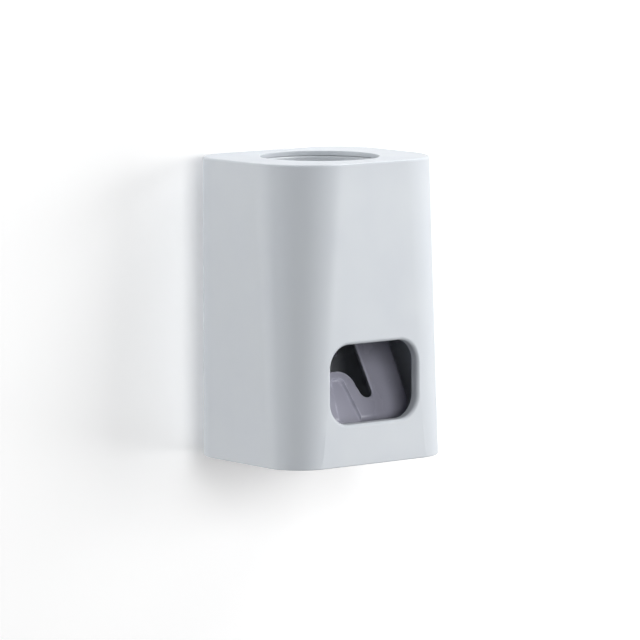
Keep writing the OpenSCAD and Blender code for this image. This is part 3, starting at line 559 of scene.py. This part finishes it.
# Inside: collar round the guide sleeve, posts for the stop pads, stops for the bottom cover
guide_collar_gap = 0.3 * mm
guide_collar_t = 1.5 * mm
guide_collar_h = 4 * mm
guide_outer_r = 22.5 * mm
guide_collar_steps = 128
collar_r = guide_outer_r + guide_collar_gap
ceiling_z = top_z - top_t
combine(shell, revolve("guide_collar", [
    (collar_r, ceiling_z - guide_collar_h), (collar_r + guide_collar_t, ceiling_z - guide_collar_h),
    (collar_r + guide_collar_t, ceiling_z + top_t / 2), (collar_r, ceiling_z + top_t / 2)],
    guide_collar_steps), "UNION")
pads_low, pads_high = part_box("stop_pads")
pad_r = (pads_high.z - pads_low.z) / 2
post_r = 3.6 * mm
post_start_y = front_y + wall / 2
backwards = (0, 1, 0)
foot_stop_t = 1.6 * mm
foot_stop_w = 6 * mm
foot_stop_pitch = 26 * mm
foot_stop_low = 3.05 * mm
foot_stop_h = 4 * mm
for side in (-1, 1):
    post_start = (side * (pads_high.x - pad_r), post_start_y, (pads_low.z + pads_high.z) / 2)
    combine(shell, rod(backwards, post_r, post_start, pads_low.y - front_y - wall / 2), "UNION")
    for y in (pump_y - foot_stop_pitch / 2, pump_y + foot_stop_pitch / 2):
        combine(shell, block(
            (side * (half_w - wall - foot_stop_t), y - foot_stop_w / 2, foot_z + foot_stop_low),
            (side * (half_w - wall / 2), y + foot_stop_w / 2, foot_z + foot_stop_low + foot_stop_h)),
            "UNION")

# Hole for the tube, notch for the rear cover, recesses for the hooks of the bottom cover
tube_hole_r = 21.85 * mm
hole_edge_r = 0.35 * mm
hole_edge_steps = 3
hole_steps = 192
hole_foot_z = ceiling_z - guide_collar_h - overrun
combine(shell, revolve("tube_hole", [
    (0, hole_foot_z), (tube_hole_r, hole_foot_z),
    *[(tube_hole_r + hole_edge_r * (1 - math.cos(a)), top_z - hole_edge_r * (1 - math.sin(a)))
      for a in quarter(hole_edge_steps)],
    (tube_hole_r + hole_edge_r, top_z + overrun), (0, top_z + overrun)], hole_steps), "DIFFERENCE")
notch_half_w = 17 * mm
notch_top = 82.3 * mm
combine(shell, block(
    (-notch_half_w, back_y - wall - overrun, foot_z - overrun),
    (notch_half_w, back_y + overrun, foot_z + notch_top)), "DIFFERENCE")
hook_w = 8.4 * mm
hook_low = 6.6 * mm
hook_high = 9 * mm
hook_depth = 0.6 * mm
for side in (-1, 1):
    combine(shell, block(
        (side * (half_w - wall - overrun), pump_y - hook_w / 2, foot_z + hook_low),
        (side * (half_w - wall + hook_depth), pump_y + hook_w / 2, foot_z + hook_high)), "DIFFERENCE")
seal(shell)

# Creases kept sharp where the smooth shading would lose them, past the window's rounded rim
rim_clearance = 1.2
beside_window_x = window_w / 2 + rim_clearance * window_edge_r
crease_end_z = foot_z + crease_h + overrun
pick(shell, "EDGE",
     lambda p: near(p.y, front_y) and abs(p.x) > beside_window_x and p.z < crease_end_z)
bpy.ops.mesh.mark_sharp()
bpy.ops.object.mode_set(mode="OBJECT")
smooth(shell, degrees=30)
shell.data.materials.append(housing_plastic)
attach(shell, "housing")
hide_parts("outer_shell")

# Lever
# A purple-grey moulding with a returned rim. Two slots leave a tongue in its middle, with a shallow dish
# that the brush pushes. Webs run up to the pivot eyes, and a cross bar carries the roller in two ears.
lever_low, lever_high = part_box("push_lever")
pins_low, pins_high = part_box("pivot_pins")
roller_low, roller_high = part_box("press_roller")
lever_extra_w = 0.9 * mm
lever_half_w = lever_high.x + lever_extra_w
lever_splay = 0.8 * mm
lever_lean = math.radians(31)
lever_foot_y = front_y + 13 * mm
lever_foot_z = foot_z + 13.4 * mm
lever_len = 33 * mm
lever_t = 2.4 * mm
lever_corner_r = 10.5 * mm
lever_side_r = 3 * mm
lever_edge_r = 0.5 * mm
lever_bevel = 0.3 * mm
rim_t = 1.6 * mm
rim_depth = 4.5 * mm
slot_outer_x = 14.3 * mm
slot_r = 2.85 * mm
slot_foot = 9.6 * mm
slot_flare = 1.5 * mm
slot_edge_steps = 4
tongue_side_x = 7.9 * mm
tongue_top = 21 * mm
tongue_r = 6.7 * mm
lever_steps = 14
lever_edge_steps = 10
lever_corner_x = lever_half_w - lever_corner_r
rim_end_y = lever_t + rim_depth


def lever_solid(name, y, inset, rise, depth):
    """Solid from the lever's outline, which starts at a place y and is drawn in by an inset."""
    piece = new_piece(name)
    start_at(0, y, inset)
    run(lever_corner_x, 0, 0)
    turn((lever_corner_x, y, lever_corner_r), 90, lever_steps, front_axis)
    run(lever_splay, 0, rise - lever_corner_r)
    run(inset - lever_half_w - lever_splay, 0, 0)
    mirror(piece)
    fill(piece, lambda p: True)
    bpy.ops.mesh.extrude_region_move(TRANSFORM_OT_translate={"value": (0, depth, 0)})
    return close(piece)


lever = lever_solid("push_lever_plate", 0, 0, lever_len + lever_side_r + overrun, rim_end_y)
bpy.ops.object.mode_set(mode="EDIT")
pick(lever, "EDGE", lambda p: near(p.y, 0))
bpy.ops.mesh.bevel(offset=lever_side_r, segments=lever_edge_steps, affect="EDGES")
bpy.ops.object.mode_set(mode="OBJECT")
combine(lever, block(
    (-lever_half_w - 2 * overrun, -overrun, lever_len),
    (lever_half_w + 2 * overrun, rim_end_y + overrun, lever_len + lever_half_w)), "DIFFERENCE")

# Hollow behind the plate, inside the rim
hollow = lever_solid("hollow", lever_t, rim_t, lever_len + overrun, rim_depth + overrun)
combine(lever, hollow, "DIFFERENCE")

# Gap around the tongue with the two slots, whose front edges are rounded
gap = new_piece("gap")
for grow, y in [
        (lever_edge_r, -overrun),
        *[(lever_edge_r * (1 - math.sin(a)), lever_edge_r * (1 - math.cos(a)))
          for a in quarter(slot_edge_steps)],
        (slot_flare, lever_t + overrun)]:
    start_at(0, y, tongue_top - grow)
    run(tongue_side_x - tongue_r, 0, 0)
    turn((tongue_side_x - tongue_r, y, tongue_top - tongue_r), -90, lever_steps, front_axis)
    run(slot_outer_x - 2 * slot_r - tongue_side_x, 0, slot_foot + slot_r - tongue_top + tongue_r)
    turn((slot_outer_x - slot_r, y, slot_foot + slot_r), 180, 2 * lever_steps, front_axis)
    run(0, 0, lever_len + overrun - slot_foot - slot_r)
    run(-slot_outer_x - grow, 0, 0)
bridge()
mirror(gap)
cap(gap, (-overrun, lever_t + overrun))
combine(lever, close(gap), "DIFFERENCE")

# Dish, open at the foot, with sloping sides
dish_depth = 1 * mm
dish_foot_x = 5.6 * mm
dish_top_x = 3 * mm
dish_top = 18.2 * mm
dish_r = 2 * mm
dish_edge_r = 0.35 * mm
dish_edge_steps = 3
below_foot_x = (dish_foot_x - dish_top_x) / dish_top * overrun
dish = new_piece("dish")
for grow, y in ((-dish_depth / 2, dish_depth), (dish_depth / 2, -dish_depth)):
    start_at(0, y, -overrun)
    run(dish_foot_x + grow + below_foot_x, 0, 0)
    run(dish_top_x - dish_foot_x - below_foot_x, 0, dish_top + grow - dish_r + overrun)
    turn((dish_top_x + grow - dish_r, y, dish_top + grow - dish_r), 90, lever_steps, front_axis)
    run(dish_r - dish_top_x - grow, 0, 0)
bridge()
mirror(dish)
cap(dish, (dish_depth, -dish_depth))
close(dish)
bpy.ops.object.mode_set(mode="EDIT")
pick(dish, "EDGE", lambda p: near(p.y, dish_depth))
bpy.ops.mesh.bevel(offset=dish_edge_r, segments=dish_edge_steps, affect="EDGES")
bpy.ops.object.mode_set(mode="OBJECT")
combine(lever, dish, "DIFFERENCE")
lever.rotation_euler = (-lever_lean, 0, 0)
lever.location = (0, lever_foot_y, lever_foot_z)
settle(lever)

# Webs with the pivot eyes and spring lugs, and the cross bar with the ears of the roller
across = (1, 0, 0)
sink = 0.5 * mm
web_t = 4 * mm
pin_head_t = 1.5 * mm
pin_end_gap = 0.4 * mm
web_x = pins_high.x - pin_head_t - pin_end_gap - web_t
web_rear = 8 * mm
eye_r = 5 * mm
pivot_r = 1.55 * mm
pivot_y = (pins_low.y + pins_high.y) / 2
pivot_z = (pins_low.z + pins_high.z) / 2
roller_y = (roller_low.y + roller_high.y) / 2
roller_z = (roller_low.z + roller_high.z) / 2
bar_front_y = lever_low.y
bar_t = 3 * mm
bar_back_y = bar_front_y + bar_t
bar_half_h = 5 * mm
bar_foot_z = roller_z - bar_half_h
bar_top_z = roller_z + bar_half_h
ear_gap = 0.5 * mm
ear_x = roller_high.x + ear_gap
ear_t = 2.5 * mm
ear_r = 3.5 * mm
ear_bore_r = 1.27 * mm
lug_r = 1.2 * mm
lug_len = 2 * mm
lug_gap = 0.2 * mm
lug_drop = 12 * mm
spring_r = 2.6 * mm
wire_r = 0.4 * mm
lug_y = pivot_y - spring_r - wire_r - lug_gap - lug_r
lug_z = pivot_z - lug_drop


def on_plate(along):
    """Place on the front plane of the lever's plate, at a length up from its foot."""
    return lever_foot_y + along * math.sin(lever_lean), lever_foot_z + along * math.cos(lever_lean)


def side_solid(piece, thickness):
    """Closes an outline that was drawn from the side and gives it its thickness."""
    bpy.ops.mesh.select_all(action="SELECT")
    bpy.ops.mesh.remove_doubles(threshold=point_gap)
    fill(piece, lambda p: True)
    bpy.ops.mesh.extrude_region_move(TRANSFORM_OT_translate={"value": (thickness, 0, 0)})
    return close(piece)


def web(name):
    """Right web, from half way up the plate to the pivot eye."""
    low_y, low_z = on_plate(lever_len / 2)
    high_y, high_z = on_plate(lever_len - lever_edge_r)
    points = [
        (low_y + lever_t / 2, low_z), (low_y + web_rear, low_z), (high_y + web_rear, high_z),
        (pivot_y + eye_r, pivot_z), (pivot_y - eye_r, pivot_z), (bar_back_y, bar_top_z),
        (bar_back_y, roller_z), (high_y + lever_t / 2, high_z)]
    piece = new_piece(name)
    start_at(web_x, *points[0])
    for before, after in zip(points, points[1:] + points[:1]):
        run(0, after[0] - before[0], after[1] - before[1])
    return side_solid(piece, web_t)


def ear(name):
    """Right ear of the roller, round at its end."""
    root_y = bar_back_y - sink
    piece = new_piece(name)
    start_at(ear_x, root_y, roller_z - ear_r)
    run(0, roller_y - root_y, 0)
    turn((ear_x, roller_y, roller_z), 180, 2 * lever_steps, side_axis)
    run(0, root_y - roller_y, 0)
    run(0, 0, -2 * ear_r)
    return side_solid(piece, ear_t)


arm = block((-overrun, bar_front_y, bar_foot_z), (web_x + sink, bar_back_y, bar_top_z))
for part in (
        web("web"),
        rod(across, eye_r, (web_x, pivot_y, pivot_z), web_t, vertices=64),
        rod(across, lug_r, (web_x - lug_len, lug_y, lug_z), lug_len + web_t / 2, vertices=32),
        block((web_x, bar_front_y, bar_foot_z), (web_x + web_t, bar_back_y + sink, bar_top_z)),
        ear("ear")):
    combine(arm, part, "UNION")
for bore in (
        rod(across, pivot_r, (web_x - overrun, pivot_y, pivot_z), web_t + 2 * overrun),
        rod(across, ear_bore_r, (ear_x - overrun, roller_y, roller_z), ear_t + 2 * overrun,
            vertices=32)):
    combine(arm, bore, "DIFFERENCE")
modify(arm, "MIRROR", use_bisect_axis=(True, False, False), merge_threshold=mirror_gap)
combine(lever, arm, "UNION")
modify(lever, "BEVEL", width=lever_bevel, segments=2, limit_method="ANGLE", angle_limit=math.radians(50))
seal(lever)
bpy.ops.object.mode_set(mode="OBJECT")
smooth(lever, degrees=40)
# The pale lilac colour over a wide 1.4 mm band at the lever's edges is a painted highlight along its
# rounded edges
lever_plastic = moulded(
    "lever_plastic", colour=(0.70, 0.70, 0.76), cloudy=(0.68, 0.68, 0.74), worn_and_highlit=(0.90, 0.90, 0.96),
    dullness=(0.22, 0.30), grain_size=0.35 * mm, grain_depth=0.008 * mm, edge_width=1.4 * mm)
lever.data.materials.append(lever_plastic)
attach(lever, "lever")
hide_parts("push_lever")

# Pivot pins, springs, stop pads and roller
# Steel pins with heads carry the lever. A wound spring on each pushes it forward on to two rubber pads,
# and the roller of tough plastic turns on a pin of its own between the ears.
dress("pivot_pins", steel, 0.2 * mm)
dress("roller_pin", steel, 0.15 * mm)
stop_rubber = moulded(
    "stop_rubber", colour=(0.10, 0.10, 0.10), cloudy=(0.12, 0.12, 0.12), worn_and_highlit=(0.17, 0.17, 0.17),
    dullness=(0.65, 0.8), grain_size=0.25 * mm, grain_depth=0.02 * mm, edge_width=0.3 * mm)
dress("stop_pads", stop_rubber, 0.2 * mm)
roller_plastic = moulded(
    "roller_plastic", colour=(0.85, 0.84, 0.80), cloudy=(0.83, 0.82, 0.78), worn_and_highlit=(0.9, 0.9, 0.87),
    dullness=(0.28, 0.36), grain_size=0.3 * mm, grain_depth=0.005 * mm, edge_width=0.3 * mm)
dress("press_roller", roller_plastic, 0.4 * mm)

spring_low, spring_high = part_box("return_springs")
spring_turns = 3
spring_pitch = 1.25 * mm
spring_steps = 32
spring_inset = 4.6 * mm
spring_x = web_x - spring_inset
spring_end_x = spring_x + spring_turns * spring_pitch
leg_up = spring_high.z - pivot_z
leg_down = pivot_z - spring_low.z
for side, name in ((1, "right"), (-1, "left")):
    spring = new_piece("return_spring_" + name)
    bpy.ops.mesh.select_mode(type="VERT")
    bpy.ops.mesh.primitive_circle_add(vertices=12, radius=wire_r, location=(spring_x, -spring_r, 0))
    bpy.ops.object.mode_set(mode="OBJECT")
    modify(spring, "SCREW", axis="X", iterations=spring_turns, steps=spring_steps,
           render_steps=spring_steps, screw_offset=spring_pitch, use_normal_calculate=True)
    bpy.ops.object.mode_set(mode="EDIT")
    for end_x, length in ((spring_x, leg_up), (spring_end_x, -leg_down)):
        pick(spring, "EDGE",
             lambda p: abs(p.x - end_x) < wire_r + same_place and near(p.z, 0) and p.y < 0)
        bpy.ops.mesh.extrude_region_move(TRANSFORM_OT_translate={"value": (0, 0, length)})
        bpy.ops.mesh.edge_face_add()
    bpy.ops.mesh.select_all(action="SELECT")
    bpy.ops.transform.translate(value=(0, pivot_y, pivot_z))
    close(spring)
    if side < 0:
        spring.scale = (-1, 1, 1)
        settle(spring)
        bpy.ops.object.mode_set(mode="EDIT")
        close(spring)
    smooth(spring, degrees=50)
    spring.data.materials.append(steel)
    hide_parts("return_springs")
    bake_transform(spring)

# Pump sleeve
# A soft tube of milky silicone with a bead at each end, clamped between the valve seat and the nozzle.
# The roller flattens it as the lever swings; this mesh keeps its round shape at rest.
sleeve_low, sleeve_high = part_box("pump_sleeve")
sleeve_r = 10 * mm
sleeve_t = 1.6 * mm
bead_r = sleeve_high.x
bead_t = 2.4 * mm
bead_edge = 0.4 * mm
sleeve_steps = 96
bore_r = sleeve_r - sleeve_t
upper_bead_z = sleeve_high.z - bead_t
sleeve = revolve("squeeze_sleeve", [
    (bore_r, sleeve_low.z), (bead_r - bead_edge, sleeve_low.z), (bead_r, sleeve_low.z + bead_edge),
    (bead_r, sleeve_low.z + bead_t - bead_edge), (bead_r - bead_edge, sleeve_low.z + bead_t),
    (sleeve_r, sleeve_low.z + bead_t), (sleeve_r, upper_bead_z), (bead_r - bead_edge, upper_bead_z),
    (bead_r, upper_bead_z + bead_edge), (bead_r, sleeve_high.z - bead_edge),
    (bead_r - bead_edge, sleeve_high.z), (bore_r, sleeve_high.z)], sleeve_steps)
smooth(sleeve, degrees=50)
sleeve.data.materials.append(silicone)
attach(sleeve, "housing")
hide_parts("pump_sleeve")
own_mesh(sleeve)

# Wall, lamps and camera
# A plain white wall just behind the object, seen only from its front side. Wide soft panels light the
# object from the right, from the front, from both sides along the wall, from above and from behind.
wall_gap = 0.5 * mm
wall_size = 3
wall_glow = 0.21
bpy.ops.mesh.primitive_plane_add(size=wall_size)
backdrop = bpy.context.object
backdrop.name = backdrop.data.name = "backdrop"
backdrop.rotation_euler = (math.radians(90), 0, 0)
backdrop.location = (0, cad_high.y + wall_gap, 0)
settle(backdrop)
paint, paint_tree, paint_shader = new_material("wall_paint")
paint_shader.inputs["Roughness"].default_value = 0.9
paint_shader.inputs["Specular IOR Level"].default_value = 0.1
paint_rays = node_in(paint_tree, "ShaderNodeLightPath")
paint_side = node_in(paint_tree, "ShaderNodeNewGeometry")
paint_colour = mixed_colour(
    paint_tree, paint_rays.outputs["Is Camera Ray"], linear((0.92, 0.92, 0.92)), linear((1.0, 1.0, 1.0)))
paint_tree.links.new(paint_colour, paint_shader.inputs["Base Color"])
unseen = node_in(paint_tree, "ShaderNodeMath", {
    0: paint_side.outputs["Backfacing"], 1: paint_rays.outputs["Is Shadow Ray"]}, operation="MAXIMUM")
clear = node_in(paint_tree, "ShaderNodeBsdfTransparent")
paint_white = node_in(paint_tree, "ShaderNodeMath", {
    0: paint_rays.outputs["Is Camera Ray"], 1: paint_rays.outputs["Is Glossy Ray"]}, operation="MAXIMUM")
paint_share = node_in(paint_tree, "ShaderNodeMath", {
    0: paint_white.outputs["Value"], 1: wall_glow}, operation="MULTIPLY")
paint_glow = node_in(paint_tree, "ShaderNodeEmission", {"Strength": paint_share.outputs["Value"]})
paint_seen = node_in(paint_tree, "ShaderNodeAddShader", {
    0: paint_shader.outputs["BSDF"], 1: paint_glow.outputs["Emission"]})
paint_mix = node_in(paint_tree, "ShaderNodeMixShader", {
    0: unseen.outputs["Value"], 1: paint_seen.outputs["Shader"], 2: clear.outputs["BSDF"]})
paint_output = paint_tree.nodes["Material Output"]
paint_tree.links.new(paint_mix.outputs["Shader"], paint_output.inputs["Surface"])
backdrop.data.materials.append(paint)

world = bpy.data.worlds.new("studio")
bpy.context.scene.world = world
world.use_nodes = True
sky = world.node_tree
sky_rays = node_in(sky, "ShaderNodeLightPath")
mirrored = node_in(sky, "ShaderNodeMath", {
    0: sky_rays.outputs["Is Camera Ray"], 1: sky_rays.outputs["Is Glossy Ray"]}, operation="MAXIMUM")
seen = node_in(sky, "ShaderNodeMath", {
    0: mirrored.outputs["Value"], 1: sky_rays.outputs["Is Transmission Ray"]}, operation="MAXIMUM")
sky_strength = node_in(sky, "ShaderNodeMapRange", {
    "Value": seen.outputs["Value"], "To Min": 0.17, "To Max": 1.0})
sky.nodes["Background"].inputs["Color"].default_value = (1, 1, 1, 1)
sky.links.new(sky_strength.outputs["Result"], sky.nodes["Background"].inputs["Strength"])

middle = (cad_low + cad_high) / 2


def lamp(name, place, size, watts):
    """Wide soft panel at a place, turned towards the object."""
    data = bpy.data.lights.new(name, "AREA")
    data.shape = "RECTANGLE"
    data.size, data.size_y = size
    data.energy = watts
    panel = bpy.data.objects.new(name, data)
    bpy.context.scene.collection.objects.link(panel)
    panel.location = place
    panel.rotation_euler = (middle - panel.location).to_track_quat("-Z", "Y").to_euler()
    return panel


lamp("lamp_right", (0.83, -0.86, 0.05), (0.75, 0.75), 6.4)
lamp("lamp_side", (1.2, -0.21, 0.1), (0.5, 0.9), 2.4)
lamp("lamp_fill", (-0.35, -1.34, 0.28), (0.7, 0.7), 7.4).visible_glossy = False
lamp("lamp_gloss", (0.4, -1.1, -0.1), (1.1, 1.1), 4.0).visible_diffuse = False
lamp("lamp_left", (-0.87, 0.68, 0.1), (0.6, 1.0), 7.9)
lamp("lamp_top", (0.6, -0.05, 0.85), (0.5, 0.5), 7.4)
lamp("lamp_behind", (0, 1.2, 0.3), (1.0, 1.0), 4)

# Camera at the photograph's place: its turn to the left, its rise, its distance and its focal length
camera_turn = math.radians(-38.69)
camera_rise = math.radians(6.84)
camera_distance = 1.8106
camera_lens = 277.4
aim_right = 1.38 * mm
aim_y = -30.8 * mm
aim_z = -5.64 * mm
away = Vector((math.sin(camera_turn) * math.cos(camera_rise),
               -math.cos(camera_turn) * math.cos(camera_rise), math.sin(camera_rise)))
rightwards = Vector((math.cos(camera_turn), math.sin(camera_turn), 0))
aim = rightwards * aim_right + Vector((0, aim_y, aim_z))
camera_data = bpy.data.cameras.new("camera")
camera_data.lens = camera_lens
camera_data.sensor_width = 36
camera = bpy.data.objects.new("camera", camera_data)
bpy.context.scene.collection.objects.link(camera)
camera.location = aim + away * camera_distance
camera.rotation_euler = away.to_track_quat("Z", "Y").to_euler()
bpy.context.scene.camera = camera
bpy.context.scene.view_settings.view_transform = "Standard"

bpy.context.view_layer.update()
